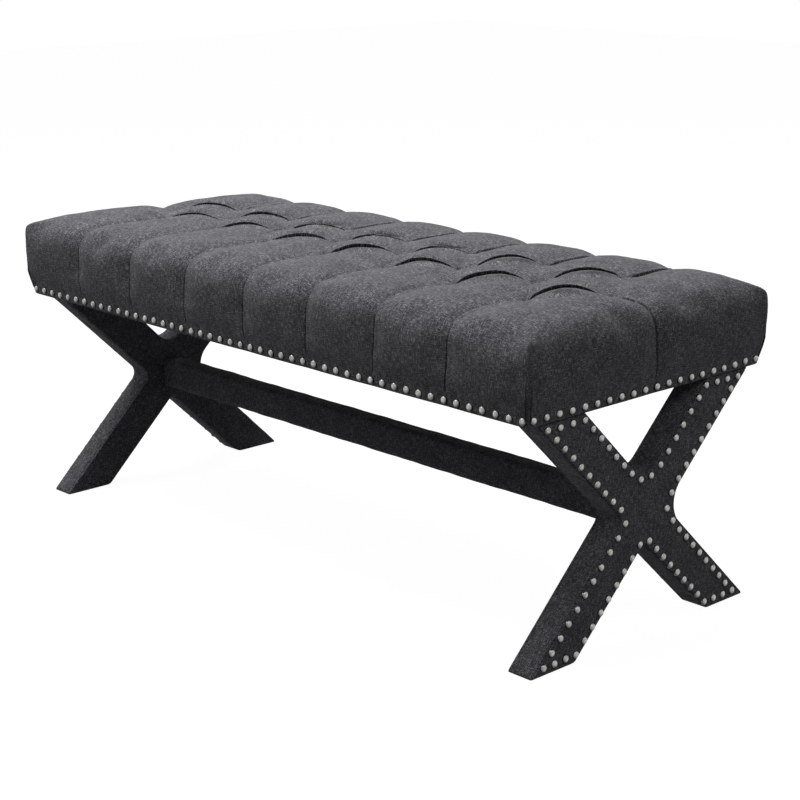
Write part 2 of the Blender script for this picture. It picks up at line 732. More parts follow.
    def sag(self, along: np.ndarray, across: np.ndarray) -> np.ndarray:
        """Says how far the fill stands above or below its even height: no hand-stuffed seat is quite level."""
        x, y = along / self.reach_u, across / self.reach_v
        total = np.zeros(len(along))
        for (side, end), lie, sink in zip(((-1, -1), (1, -1), (-1, 1), (1, 1)), self.settled, self.corner_sink):
            total += lie * np.clip(1 + side * x, 0, 2) * np.clip(1 + end * y, 0, 2) / 4
            away = np.hypot(along - side * self.reach_u, across - end * self.reach_v)
            total -= sink * bell(away, 90)
        return total

    def tuck(self, net: np.ndarray) -> np.ndarray:
        """Says how deep the tufts and pleats draw the cover in at places of the flat cloth."""
        total = np.zeros(len(net))
        for pleat in self.pleats:
            share, _, distance = pleat.measure(net)
            share = np.clip(share, 0, 1)
            if pleat.straight:
                length = math.dist(pleat.start, pleat.end)
                run = share * length
                to_edge = length - (self.hem_run - self.pleat_end) - self.round_start
                shoulder = self.edge_pleat_depth * (1 - 0.75 * ease((run - length + 75) / 75))
                shoulder += self.shoulder_draw * bell(run - to_edge, 34)
                deep = shoulder + (self.tuft_depth - self.edge_pleat_depth) * np.exp(-run / 16)
            else:
                deep = self.pleat_depth + (self.tuft_depth - self.pleat_depth) * np.abs(2 * share - 1) ** 2.4
            fall = np.clip(1 - distance / self.pillow_reach, 0, 1) ** 2.3
            total += (deep * fall) ** 6
        below = np.maximum(np.abs(net[:, 0]) - self.reach_u, np.abs(net[:, 1]) - self.reach_v)
        return total ** (1 / 6) + self.room * ease((self.hem_run - 24 - below) / 40) * self.slackness(net)

    def slackness(self, net: np.ndarray) -> np.ndarray:
        """Says how freely the cover swells: not at the corners, where its folds hold it."""
        to_corner = np.maximum(self.reach_u - np.abs(net[:, 0]), self.reach_v - np.abs(net[:, 1]))
        return ease((to_corner - 5) / 85)

    def lattice(self) -> tuple[np.ndarray, np.ndarray]:
        """Gives the coarse grid lines of the flat cloth along its length and across it."""
        lines = []
        for reach in (self.reach_u, self.reach_v):
            inner = np.linspace(-reach, reach, 2 * round(reach / self.coarse) + 1)
            outer = reach + np.linspace(0, self.side_run, round(self.side_run / self.coarse) + 1)[1:]
            lines.append(np.concatenate([-outer[::-1], inner, outer]))
        return lines[0], lines[1]

    def swell(self) -> tuple[np.ndarray, np.ndarray, np.ndarray]:
        """Lets air pressure fill the cover between its tufts and hem, as a coarse cloth.

        Returns:
            The grid lines along and across the cloth, and how far each crossing moves.
        """
        lines_u, lines_v = self.lattice()
        shape = (len(lines_u), len(lines_v))
        grid = crossings(lines_u, lines_v).reshape(-1, 2)
        points = self.place(grid)
        _, first, same = np.unique(np.round(points, 3), axis=0, return_index=True, return_inverse=True)
        same = same.ravel()
        slack = 1e-6
        in_net = (np.abs(grid[:, 0]) <= self.reach_u + slack) | (np.abs(grid[:, 1]) <= self.reach_v + slack)
        welded = grid_quads(same.reshape(shape))[grid_quads(in_net.reshape(shape)).all(axis=1)]
        used = np.unique(welded)
        renumbered = np.full(len(first), -1)
        renumbered[used] = np.arange(len(used))
        change = self.inflate(grid[first[used]], points[first[used]], renumbered[welded])
        number = renumbered[same]
        whole = np.where(number[:, None] >= 0, change[number], 0).reshape(*shape, 3)
        return lines_u, lines_v, self.calm(whole, (number >= 0).astype(float).reshape(*shape, 1))

    def inflate(self, net: np.ndarray, points: np.ndarray, faces: np.ndarray) -> np.ndarray:
        """Simulates the coarse cloth under pressure.

        Args:
            net: Places of its vertices on the flat cloth.
            points: The same places laid on the seat.
            faces: Its quads.

        Returns:
            How far each vertex moves.
        """
        start = points - face_normals(points, [faces]) * self.tuck(net)[:, None]
        bag = make_piece("swelling_cover", start, [faces])
        held = bag.vertex_groups.new(name="held")
        hold = self.holding(net)
        for level in np.unique(hold[hold > 0]):
            held.add(np.flatnonzero(hold == level).tolist(), float(level), "REPLACE")
        cloth = bag.modifiers.new("swell", "CLOTH")
        cloth.settings.vertex_group_mass = held.name
        cloth.settings.use_pressure = True
        cloth.settings.uniform_pressure_force = self.pressure
        cloth.settings.effector_weights.gravity = 0
        cloth.settings.tension_stiffness = 15
        cloth.settings.bending_stiffness = 2.0
        cloth.settings.shrink_min = -0.015
        cloth.point_cache.frame_end = self.swell_frames
        for number in range(1, self.swell_frames + 1):
            bpy.context.scene.frame_set(number)
        bpy.ops.object.select_all(action="DESELECT")
        bpy.context.view_layer.objects.active = bag
        bpy.ops.object.modifier_apply(modifier=cloth.name)
        change = read_points(bag.data) - start
        bpy.data.objects.remove(bag)
        bpy.context.scene.frame_set(1)
        size = np.linalg.norm(change, axis=1, keepdims=True)
        LOG.info("cover swelled by %.1f mm at most, %.1f on average", size.max(), size.mean())
        return change * np.minimum(1, self.swell_cap / np.maximum(size, 1e-6))

    def calm(self, moves: np.ndarray, weight: np.ndarray) -> np.ndarray:
        """Evens out the moves between neighbours.

        Args:
            moves: The move at each crossing of the grid.
            weight: 1 where the crossing belongs to the cloth, otherwise 0.

        Returns:
            The calmer moves.
        """
        for _ in range(self.calming):
            total, share = moves * weight, weight.copy()
            for axis in (0, 1):
                total = total + np.roll(total, 1, axis) + np.roll(total, -1, axis)
                share = share + np.roll(share, 1, axis) + np.roll(share, -1, axis)
            moves = np.where(weight > 0, total / np.maximum(share, 1e-9), 0)
        return moves

    def holding(self, net: np.ndarray) -> np.ndarray:
        """Says how firmly each place of the flat cloth is held: 1 at tufts and hem, less along pleats."""
        hold = np.zeros(len(net))
        for pleat in self.pleats:
            _, _, distance = pleat.measure(net)
            hold = np.maximum(hold, np.where(distance < 4.5, 0.55 if pleat.straight else 0.25, 0))
        for tuft in self.tufts:
            hold = np.where(np.linalg.norm(net - np.array(tuft), axis=1) < 7, 1, hold)
        below = np.maximum(np.abs(net[:, 0]) - self.reach_u, np.abs(net[:, 1]) - self.reach_v)
        return np.where(below > self.hem_run - self.nailed, 1, hold)

    def edge_stops(self, reach: float, seams: Sequence[float]) -> np.ndarray:
        """Divides an edge of the top, closer together where pleats cross it.

        Args:
            reach: Half the edge's length.
            seams: Where pleats cross it.

        Returns:
            Places along the edge, both ends included.
        """
        even = np.linspace(-reach, reach, 2 * round(reach / 3.8) + 1)
        clear = np.array([min((abs(stop - seam) for seam in seams), default=99) for stop in even])
        clear = np.minimum(clear, reach - np.abs(even))
        near = [seam + side * row for seam in seams for row in self.seam_rows for side in (-1, 1)]
        near += [side * (reach - row) for row in self.seam_rows for side in (-1, 1)]
        return np.unique(np.round(np.concatenate([even[clear > self.seam_rows[-1] + 1.5], near]), 4))

    def top_points(self) -> np.ndarray:
        """Spreads points over the top: rows along the pleats, rings round the tufts and an even spread between."""
        tufts = np.array(self.tufts)
        points = []
        for pleat in self.pleats:
            origin, end = np.array(pleat.start), np.array(pleat.end)
            if pleat.straight:
                limit = self.reach_v if abs(end[0] - origin[0]) < 1 else self.reach_u
                end = origin + unit(end - origin) * (limit - np.abs(origin @ np.abs(unit(end - origin))))
            length, along = np.linalg.norm(end - origin), unit(end - origin)
            across = np.array((-along[1], along[0]))
            rows = self.lip_rows if pleat.gap else [side * row for row in self.seam_rows for side in (-1, 1)][1:]
            stations = np.linspace(0, length, round(length / 3.2) + 1)
            if pleat.straight:
                stations = stations[:-1]
            spots = origin + stations[:, None, None] * along + np.array(rows)[None, :, None] * across
            spots = spots.reshape(-1, 2)
            apart = np.linalg.norm(spots[:, None] - tufts[None], axis=2).min(axis=1)
            points.append(spots[apart > 9.5])
        for tuft in tufts:
            for radius, count in self.tuft_rings:
                turn = np.arange(count) * 2 * math.pi / count
                spots = tuft + radius * np.stack([np.cos(turn), np.sin(turn)], axis=1)
                points.append(spots[self.clearance(spots) > 1.5] if radius > 9 else spots)
        grid = staggered_grid((-self.reach_u, -self.reach_v), (self.reach_u, self.reach_v), self.spacing)
        apart = np.linalg.norm(grid[:, None] - tufts[None], axis=2).min(axis=1)
        points.append(grid[(self.clearance(grid) > 1.8) & (apart > 22)])
        spread = np.concatenate(points)
        inside = (np.abs(spread[:, 0]) < self.reach_u - 1.5) & (np.abs(spread[:, 1]) < self.reach_v - 1.5)
        return spread[inside]

    def clearance(self, spots: np.ndarray) -> np.ndarray:
        """Measures how far spots lie outside the rows of points along the pleats."""
        clear = np.full(len(spots), 1e3)
        for pleat in self.pleats:
            _, _, distance = pleat.measure(spots)
            zone = self.lip_rows[-1] if pleat.gap else self.seam_rows[-1]
            clear = np.minimum(clear, distance - zone)
        return clear

    def fold(self, pleat: Pleat, share: np.ndarray, across: np.ndarray) -> tuple[np.ndarray, np.ndarray]:
        """Folds the cloth over itself along a pleat.

        Args:
            pleat: The pleat.
            share: Shares of its length.
            across: Signed distances across it.

        Returns:
            How far each place moves across the pleat, and how far out of the surface.
        """
        if pleat.gap:
            first, last = pleat.opens
            mid, half = (first + last) / 2, (last - first) / 2
            strength = np.clip(1 - ((share - mid) / half) ** 2, 0, 1)
            gap = pleat.gap
            stops = [-14, -7, -3.5, -1.5, 0, 1.2, 2.2, 3.2, 4.3, 7.5, 14]
            shifted = [-14, -6.6, -1.8, 2.2, 5.5, 6.0, 4.5, 1.0, -2.2, 3.0, 14]
            raised = [0, -0.2 * gap, -0.5 * gap - 0.6, -9.5, -15.5, -12.0, -4.0, 0.4 * gap, gap, 0.9 * gap, 0]
            moved = np.interp(across, stops, shifted) - across
            lift = np.interp(across, stops, raised)
            arch = pleat.rise * strength * np.clip(1 - (across / self.arch_reach) ** 2, 0, 1) ** 2
            open_part = strength**0.6
            return open_part * moved + arch, open_part * lift + arch
        if not pleat.straight:
            strength = np.clip(1 - np.abs(2 * share - 1) ** 2, 0.1, 1)
            valley = bell(across, 6.0) + 0.6 * bell(across - 1.5, 2.0)
            return 0 * across, -2.6 * valley * (1.2 - strength)
        strength = ease(share * 8) * (1 - 0.35 * ease(share * 6 - 5))
        slit, crest, hollow = bell(across, 1.2), bell(across - 4.0, 3.5), bell(across + 5.0, 7.0)
        on_top = strength * (1 - ease(share * 2.2 - 0.8)) * pleat.ridge
        line = pleat.sharp * strength
        shift = -1.6 * line * crest - 1.6 * on_top * crest
        return shift, line * (0.8 * crest - 5.0 * slit) + on_top * (2.0 * crest - 2.6 * hollow - 1.6 * slit)

    def build(self) -> bpy.types.Object:
        """Builds the cover as a closed form round the timber box."""
        net, faces, flat, rim = self.divide()
        points = self.shape(net, faces)
        folded = self.inside_folds(net, points)
        nearest = [np.argmin(np.linalg.norm(net - np.array(tuft), axis=1)) for tuft in self.tufts]
        self.tuft_heights = points[nearest, 2]
        points, wall = self.inner_wall(points, rim)
        flat += [points[group][..., :2] for group in wall]
        flat = np.concatenate([part.reshape(-1, 2) for part in flat])
        piece = make_piece("seat_cushion", points, faces + wall, flat)
        add_attribute(piece.data, FOLD_INSIDE, np.append(folded, np.zeros(len(points) - len(folded))))
        return piece

    def divide(self) -> tuple[np.ndarray, list[np.ndarray], list[np.ndarray], np.ndarray]:
        """Divides the flat cloth into triangles over the top and quads down the four side bands.

        Returns:
            Places of the vertices, the faces, the place of each face corner, and the numbers of the last row. Two
            bands share the vertices of the corner fold between them.
        """
        stops_u = self.edge_stops(self.reach_u, self.ends)
        stops_v = self.edge_stops(self.reach_v, [self.end_pleat])
        edges = [
            np.column_stack([stops_u, np.full(len(stops_u), -self.reach_v)]),
            np.column_stack([np.full(len(stops_v), self.reach_u), stops_v]),
            np.column_stack([stops_u[::-1], np.full(len(stops_u), self.reach_v)]),
            np.column_stack([np.full(len(stops_v), -self.reach_u), stops_v[::-1]]),
        ]
        edge = np.concatenate([side[:-1] for side in edges])
        top, triangles, renumbered = triangulate(np.concatenate([edge, self.top_points()]))
        held = self.hem_run - self.nailed
        rows = [np.linspace(0, held, 17), np.linspace(held, self.hem_run + 2, 12)[1:]]
        rows = np.concatenate([*rows, self.hem_run + np.array([6, 14, 30, 60])])
        count = len(edge)
        below = len(top) + np.arange((len(rows) - 1) * count).reshape(-1, count)
        numbers = np.vstack([renumbered[:count], below])
        band_net = np.zeros((*below.shape, 2))
        quads, flat, first = [], [], 0
        for side, outward in zip(edges, ((0, -1), (1, 0), (0, 1), (-1, 0))):
            ring = np.arange(first, first + len(side)) % count
            first += len(side) - 1
            places = edge[ring] + np.array(outward) * rows[:, None, None]
            band_net[:, ring] = places[1:]
            quads.append(grid_quads(numbers[:, ring]))
            flat.append(grid_quads(places))
        net = np.concatenate([top, band_net.reshape(-1, 2)])
        return net, [triangles, np.concatenate(quads)], [net[triangles], np.concatenate(flat)], below[-1]

    def inner_wall(self, points: np.ndarray, rim: np.ndarray) -> tuple[np.ndarray, list[np.ndarray]]:
        """Closes the form inside: in under the rails, up them and across the deck.

        Args:
            points: The cover's vertices.
            rim: Numbers of its last row.

        Returns:
            The vertices with the new ones, and the new faces.
        """
        inner_x, inner_y, low, high = self.box
        last = points[rim]
        inner = last[:, :2] * (inner_x / np.abs(last[:, 0]).max(), inner_y / np.abs(last[:, 1]).max())
        wall = [last + (0, 0, low - last[0, 2])]
        wall += [np.column_stack([inner, np.full(len(rim), z)]) for z in (low, high)]
        rings = [rim, *(len(points) + np.arange(3 * len(rim)).reshape(3, -1))]
        points = np.concatenate([points, *wall, [[0, 0, high]]])
        cap = np.column_stack([rings[-1], np.full(len(rim), len(points) - 1), np.roll(rings[-1], -1)])
        return points, [ring_quads(rings), cap]

    def shape(self, net: np.ndarray, faces: Sequence[np.ndarray]) -> np.ndarray:
        """Shapes the cover: swelling, tucks, folds, creases and puckers.

        Args:
            net: Places on the flat cloth.
            faces: Faces between them.

        Returns:
            The finished points.
        """
        points = self.place(net)
        normals = face_normals(points, faces)
        tucked = points - normals * self.tuck(net)[:, None]
        lines_u, lines_v, moved = self.swell()
        tucked += self.read_grid(net, lines_u, lines_v, moved) * self.slackness(net)[:, None]
        for pleat in self.pleats:
            share, across, distance = pleat.measure(net)
            zone = np.flatnonzero((distance < (self.arch_reach if pleat.gap else 15)) & (share > 0) & (share < 1))
            shift, lift = self.fold(pleat, share[zone], across[zone])
            along = unit(np.array(pleat.end) - np.array(pleat.start))
            sideways = np.array((-along[1], along[0], 0))
            tucked[zone] += shift[:, None] * sideways + lift[:, None] * normals[zone]
        out = self.dimples(net) + self.creases(net) + self.puckers(net, points)
        out += 0.35 * random_waves(net, 5, 140, 45) + 0.12 * random_waves(net, 6, 30, 14)
        under = np.abs(points[:, 2] - self.hem) < 0.5
        return tucked + normals * np.where(under, 0, out)[:, None]

    def inside_folds(self, net: np.ndarray, points: np.ndarray) -> np.ndarray:
        """Says how deep in a fold each place lies, from 0 on the open cloth to 1."""
        found = np.zeros(len(net))
        for pleat in self.pleats:
            if not (pleat.gap or pleat.straight):
                continue
            share, across, distance = pleat.measure(net)
            zone = np.flatnonzero((distance < 6) & (share > 0) & (share < 1))
            if pleat.gap:
                first, last = pleat.opens
                strength = np.clip(1 - ((2 * share[zone] - first - last) / (last - first)) ** 2, 0, 1) ** 0.3
                dark = strength * np.interp(across[zone], [-3.5, -2.4, 2.4, 3.1], [0, 1, 1, 0])
            else:
                dark = 0.8 * pleat.sharp * ease(share[zone] * 8) * bell(across[zone], 1.1)
            found[zone] = np.maximum(found[zone], dark)
        return np.maximum(found, self.corner_slit(net, points[:, 2] - self.hem, 1.6))

    def corner_slit(self, net: np.ndarray, height: np.ndarray, width: float) -> np.ndarray:
        """Gives 1 along the corner folds, which run up each edge and hook round to the end at the top.

        Args:
            net: Places on the flat cloth.
            height: Their heights over the hem.
            width: How fast the value falls to 0 across the fold.

        Returns:
            A value for each place.
        """
        to_rear = np.clip(self.reach_v - np.abs(net[:, 1]), 0, None)
        to_end = np.clip(self.reach_u - np.abs(net[:, 0]), 0, None)
        across = to_rear - to_end - 5 * ease((height - 60) / 8)
        return ease((height - 3) / 5) * ease((70 - height) / 4) * bell(across, width)

    def read_grid(self, net: np.ndarray, lines_u: np.ndarray, lines_v: np.ndarray, moved: np.ndarray) -> np.ndarray:
        """Reads how far the coarse cloth moved at places between its grid lines.

        Args:
            net: Places on the flat cloth.
            lines_u: Grid lines along the cloth.
            lines_v: Grid lines across it.
            moved: The move at each crossing.

        Returns:
            The move at each place.
        """
        found = []
        for lines, places in ((lines_u, net[:, 0]), (lines_v, net[:, 1])):
            cell = np.clip(np.searchsorted(lines, places, side="right") - 1, 0, len(lines) - 2)
            found.append((cell, np.clip((places - lines[cell]) / (lines[cell + 1] - lines[cell]), 0, 1)[:, None]))
        (i, s), (j, t) = found
        lower = moved[i, j] * (1 - s) + moved[i + 1, j] * s
        upper = moved[i, j + 1] * (1 - s) + moved[i + 1, j + 1] * s
        return lower * (1 - t) + upper * t

    def dimples(self, net: np.ndarray) -> np.ndarray:
        """Draws each tuft in to a soft point."""
        total = np.zeros(len(net))
        for tuft in self.tufts:
            total -= 3.5 * bell(np.linalg.norm(net - np.array(tuft), axis=1), 7.5)
        return total

    def creases(self, net: np.ndarray) -> np.ndarray:
        """Gathers fine creases towards each tuft."""
        random = np.random.default_rng(11)
        total = np.zeros(len(net))
        for tuft in self.tufts:
            offset = net - np.array(tuft)
            away = np.hypot(offset[:, 0], offset[:, 1])
            turn = np.arctan2(offset[:, 1], offset[:, 0])
            folds = random.integers(8, 12)
            wander = random.uniform(0, 6.3, 3)
            wave = np.cos(folds * turn + wander[0] + 1.5 * np.sin(2 * turn + wander[1]))
            wave *= 0.65 + 0.35 * np.sin(3 * turn + wander[2])
            total += 1.25 * wave * bell(away - 13, 8)
        return total

    def puckers(self, net: np.ndarray, points: np.ndarray) -> np.ndarray:
        """Pulls the cloth into small folds above the nails, and in under each nail."""
        random = np.random.default_rng(23)
        total = np.zeros(len(net))
        height = points[:, 2] - self.hem
        halves = (self.length / 2, self.depth / 2)
        for sideways, facing in ((0, 1), (1, 0)):
            end = halves[sideways] - self.nail_margin
            for sign in (-1, 1):
                band = np.flatnonzero((sign * points[:, facing] > halves[facing] - 4) & (height < 62))
                for nail in np.linspace(-end, end, self.nail_counts[sideways]):
                    total[band] -= self.pucker(random, points[band, sideways] - nail, height[band])
        return total - 5.0 * self.corner_slit(net, height, 1.4)

    def pucker(self, random: np.random.Generator, along: np.ndarray, height: np.ndarray) -> np.ndarray:
        """Says how far one nail draws the cloth in, with a small fold that leans away above it.

        Args:
            random: Draws the fold's place, size and lean.
            along: Distances from the nail along the hem.
            height: Heights over the hem.

        Returns:
            The depth at each place.
        """
        pressed = 1.7 * bell(np.hypot(along, height - 10.2), 7.0)
        aside, tall, wide = random.uniform(-9, 9), random.uniform(9, 26), random.uniform(2.2, 4.2)
        fade = ease((height - 8) / 10) * bell(np.maximum(height - 14, 0), tall)
        lean = aside + random.uniform(-0.12, 0.12) * (height - 14)
        return pressed + random.uniform(0.6, 2.4) * fade * bell(along - lean, wide)


# The frames and the stretcher
@dataclass
class FrameCover:
    """The padded sleeve of one X frame: plain edges, and a panel with a folded edge on its outer face."""

    side: int  # 1 for the right frame, -1 for the left
    outer: float = 605.5
    thickness: float = 48.0
    hem: float = 372.0
    sole: float = 1.2  # the cloth ends this far over the floor
    foot: tuple[float, float] = (241.5, 150.0)  # outer and inner corner on the floor, from the middle
    arm: tuple[float, float] = (233.0, 134.0)  # outer and inner corner under the seat
    waist_radii: tuple[float, float] = (18.0, 42.0)  # front and rear
    crotch_radii: tuple[float, float] = (36.0, 5.0)  # upper and lower
    foot_radii: tuple[float, float] = (1.5, 14.0)  # outer and inner corner
    rear_ease: float = 4.0  # how much fuller the cloth sits at the rear
    edge_radius: float = 2.0
    panel_inset: float = 1.6
    panel_rise: float = 1.4
    outer_rows: tuple[float, ...] = (0.2, 0.5, 0.8, 1.1, 1.4, 1.7, 2.0, 2.5, 3.2, 4.6, 6.8, 9.6, 12.4)
    inner_rows: tuple[float, ...] = (0.3, 1.2, 2.8, 5.0, 10.0)
    seam_rows: tuple[float, ...] = (6.0, 4.6, 3.8, 3.0, 2.2, 1.2)  # rows of the edge strip beside its inner seam

    def outline(self) -> np.ndarray:
        """Traces the X in Y and Z, anticlockwise seen from the right end."""
        slopes = ((self.foot[0] + self.arm[1]) / self.hem, (self.foot[1] + self.arm[0]) / self.hem)
        waist = (self.foot[0] + self.foot[1]) / (slopes[0] + slopes[1])

        def upper(z: float) -> float:
            """Gives the Y of the edge from the outer foot corner to the inner arm corner."""
            return -self.foot[0] + slopes[0] * z

        def lower(z: float) -> float:
            """Gives the Y of the edge from the inner foot corner to the outer arm corner."""
            return -self.foot[1] + slopes[1] * z

        low, high = self.sole, self.hem
        corners = [
            (upper(low), low, self.foot_radii[0]),
            (upper(waist), waist, self.waist_radii[0]),
            (-lower(high), high, 0),
            (-upper(high), high, 0),
            (0, self.foot[0] / slopes[0], self.crotch_radii[0]),
            (upper(high), high, 0),
            (lower(high), high, 0),
            (-upper(waist), waist, self.waist_radii[1]),
            (-upper(low), low, self.foot_radii[0]),
            (-lower(low), low, self.foot_radii[1]),
            (0, self.foot[1] / slopes[1], self.crotch_radii[1]),
            (lower(low), low, self.foot_radii[1]),
        ]
        corners = [(y + self.rear_ease * ease(y / 240) ** 0.5, z, radius) for y, z, radius in corners]
        return rounded_path(corners[::-1], True, 3.8)

    def inward(self, path: np.ndarray) -> np.ndarray:
        """Gives the direction into the outline at each of its points."""
        along = unit(np.roll(path, -1, axis=0) - np.roll(path, 1, axis=0))
        return np.stack([-along[:, 1], along[:, 0]], axis=1)

    def face(
        self, path: np.ndarray, rows: Sequence[float], spacing: float
    ) -> tuple[np.ndarray, np.ndarray, np.ndarray]:
        """Fills the outline with points: rows that follow its edge and an even spread inside.

        Args:
            path: The outline.
            rows: Distances of the rows from the edge.
            spacing: Spacing of the even spread.

        Returns:
            The points, the triangles and the new number of each outline point.
        """
        inward = self.inward(path)
        points = [path]
        for row in rows:
            spots = path + inward * row
            points.append(spots[depth_in(spots, path) > row - 0.06])
        grid = staggered_grid(path.min(axis=0), path.max(axis=0), spacing)
        points.append(grid[self.inside(grid, path) & (depth_in(grid, path) > rows[-1] + 0.6 * spacing)])
        spread, faces, renumbered = triangulate(np.concatenate(points), np.arange(len(path)))
        return spread, faces, renumbered[: len(path)]

    def inside(self, spots: np.ndarray, path: np.ndarray) -> np.ndarray:
        """Tells which spots lie within the outline."""
        found = np.zeros(len(spots), bool)
        for start, end in zip(path, np.roll(path, -1, axis=0)):
            crosses = (start[1] > spots[:, 1]) != (end[1] > spots[:, 1])
            rise = end[1] - start[1] if abs(end[1] - start[1]) > 1e-9 else 1e-9
            found ^= crosses & (spots[:, 0] < start[0] + (spots[:, 1] - start[1]) / rise * (end[0] - start[0]))
        return found

    def rounding(self, depth: np.ndarray) -> np.ndarray:
        """Says how far the edge falls back from a face at distances in from the outline."""
        into = np.clip(self.edge_radius - depth, 0, self.edge_radius)
        return self.edge_radius - np.sqrt(self.edge_radius**2 - into**2)

    def build(self) -> bpy.types.Object:
        """Builds the sleeve: two faces and the strip round their edge."""
        path = self.outline()
        outer, outer_faces, outer_loop = self.face(path, self.outer_rows, 4.6)
        inner, inner_faces, inner_loop = self.face(path, self.inner_rows, 9.0)
        inner_faces = inner_faces[:, ::-1]
        near, far = self.outer - self.panel_rise - self.edge_radius, self.outer - self.thickness + self.edge_radius
        levels = np.append(np.linspace(near, far, 9)[1:-2], far + np.array(self.seam_rows))
        run = np.arange(len(path) + 1) * np.linalg.norm(path[1] - path[0])
        strip = [self.strip_ring(path, run[:-1], level, (near, far)) for level in levels]
        vertices = np.concatenate([self.outer_face(outer, path), self.inner_face(inner, path), *strip])
        start = len(outer) + len(inner)
        between = start + np.arange(len(levels) * len(path)).reshape(len(levels), -1)
        rings = [outer_loop, *between, len(outer) + inner_loop]
        faces = [outer_faces, inner_faces + len(outer), ring_quads(rings)]
        strip_flat = grid_quads(crossings(np.array([near, *levels, far]), run)[..., ::-1])
        flat = [outer[outer_faces], inner[inner_faces] + (0, 700), strip_flat + (0, 1500)]
        if self.side < 0:
            vertices = vertices * (-1, 1, 1)
            faces = [group[:, ::-1] for group in faces]
            flat = [part[:, ::-1] for part in flat]
        name = "right_frame_sleeve" if self.side > 0 else "left_frame_sleeve"
        return make_piece(name, vertices, faces, np.concatenate([part.reshape(-1, 2) for part in flat]))

    def outer_face(self, spots: np.ndarray, path: np.ndarray) -> np.ndarray:
        """Gives the outer face its height: a panel whose folded edge stands in a groove."""
        depth = depth_in(spots, path)
        step = self.panel_rise * ease((depth - self.panel_inset + 0.3) / 0.7)
        groove = 1.4 * bell(depth - self.panel_inset + 0.5, 0.5)
        height = self.outer - self.panel_rise - self.rounding(depth) + step - groove + self.wrinkles(spots, depth)
        return np.column_stack([height, spots])

    def inner_face(self, spots: np.ndarray, path: np.ndarray) -> np.ndarray:
        """Gives the plain inner face its height."""
        depth = depth_in(spots, path)
        waves = 0.35 * random_waves(spots, 41, 90, 30) * ease(depth / 8)
        return np.column_stack([self.outer - self.thickness + self.rounding(depth) - waves, spots])

    def strip_ring(self, path: np.ndarray, run: np.ndarray, level: float, ends: tuple[float, float]) -> np.ndarray:
        """Gives one ring of the edge strip, which puffs out a little and is drawn in at its seam.

        Args:
            path: The outline.
            run: How far along the outline each of its points is.
            level: The ring's X.
            ends: The X at which the strip meets the outer and the inner face.

        Returns:
            The ring's points.
        """
        near, far = ends
        across = (level - near) / (far - near)
        puff = 0.8 * (1 - 4 * (across - 0.5) ** 2) - 1.6 * bell(level - far - 3.0, 0.9)
        puff = puff + 0.6 * random_waves(np.column_stack([run, np.full(len(run), level)]), 43 + self.side, 70, 20)
        return np.column_stack([np.full(len(run), level), path - self.inward(path) * (puff * self.free(path))[:, None]])

    def free(self, path: np.ndarray) -> np.ndarray:
        """Says where the edge strip may puff out: not where it meets the seat or stands on the glides."""
        return ease((self.hem - 1 - path[:, 1]) / 12) * ease((path[:, 1] - self.sole - 1) / 10)

    def wrinkles(self, spots: np.ndarray, depth: np.ndarray) -> np.ndarray:
        """Draws the outer face in at its nails, with small pulls between them."""
        out = 0.3 * random_waves(spots, 45 + self.side, 60, 14)
        nails = NailRow.crowns(("right" if self.side > 0 else "left") + "_frame_nails")[:, 1:]
        for nail in nails:
            near = np.flatnonzero(np.abs(spots - nail).max(axis=1) < 22)
            away = np.linalg.norm(spots[near] - nail, axis=1)
            out[near] -= bell(away, 6.5)
        return out * ease((depth - self.panel_inset) / 2)


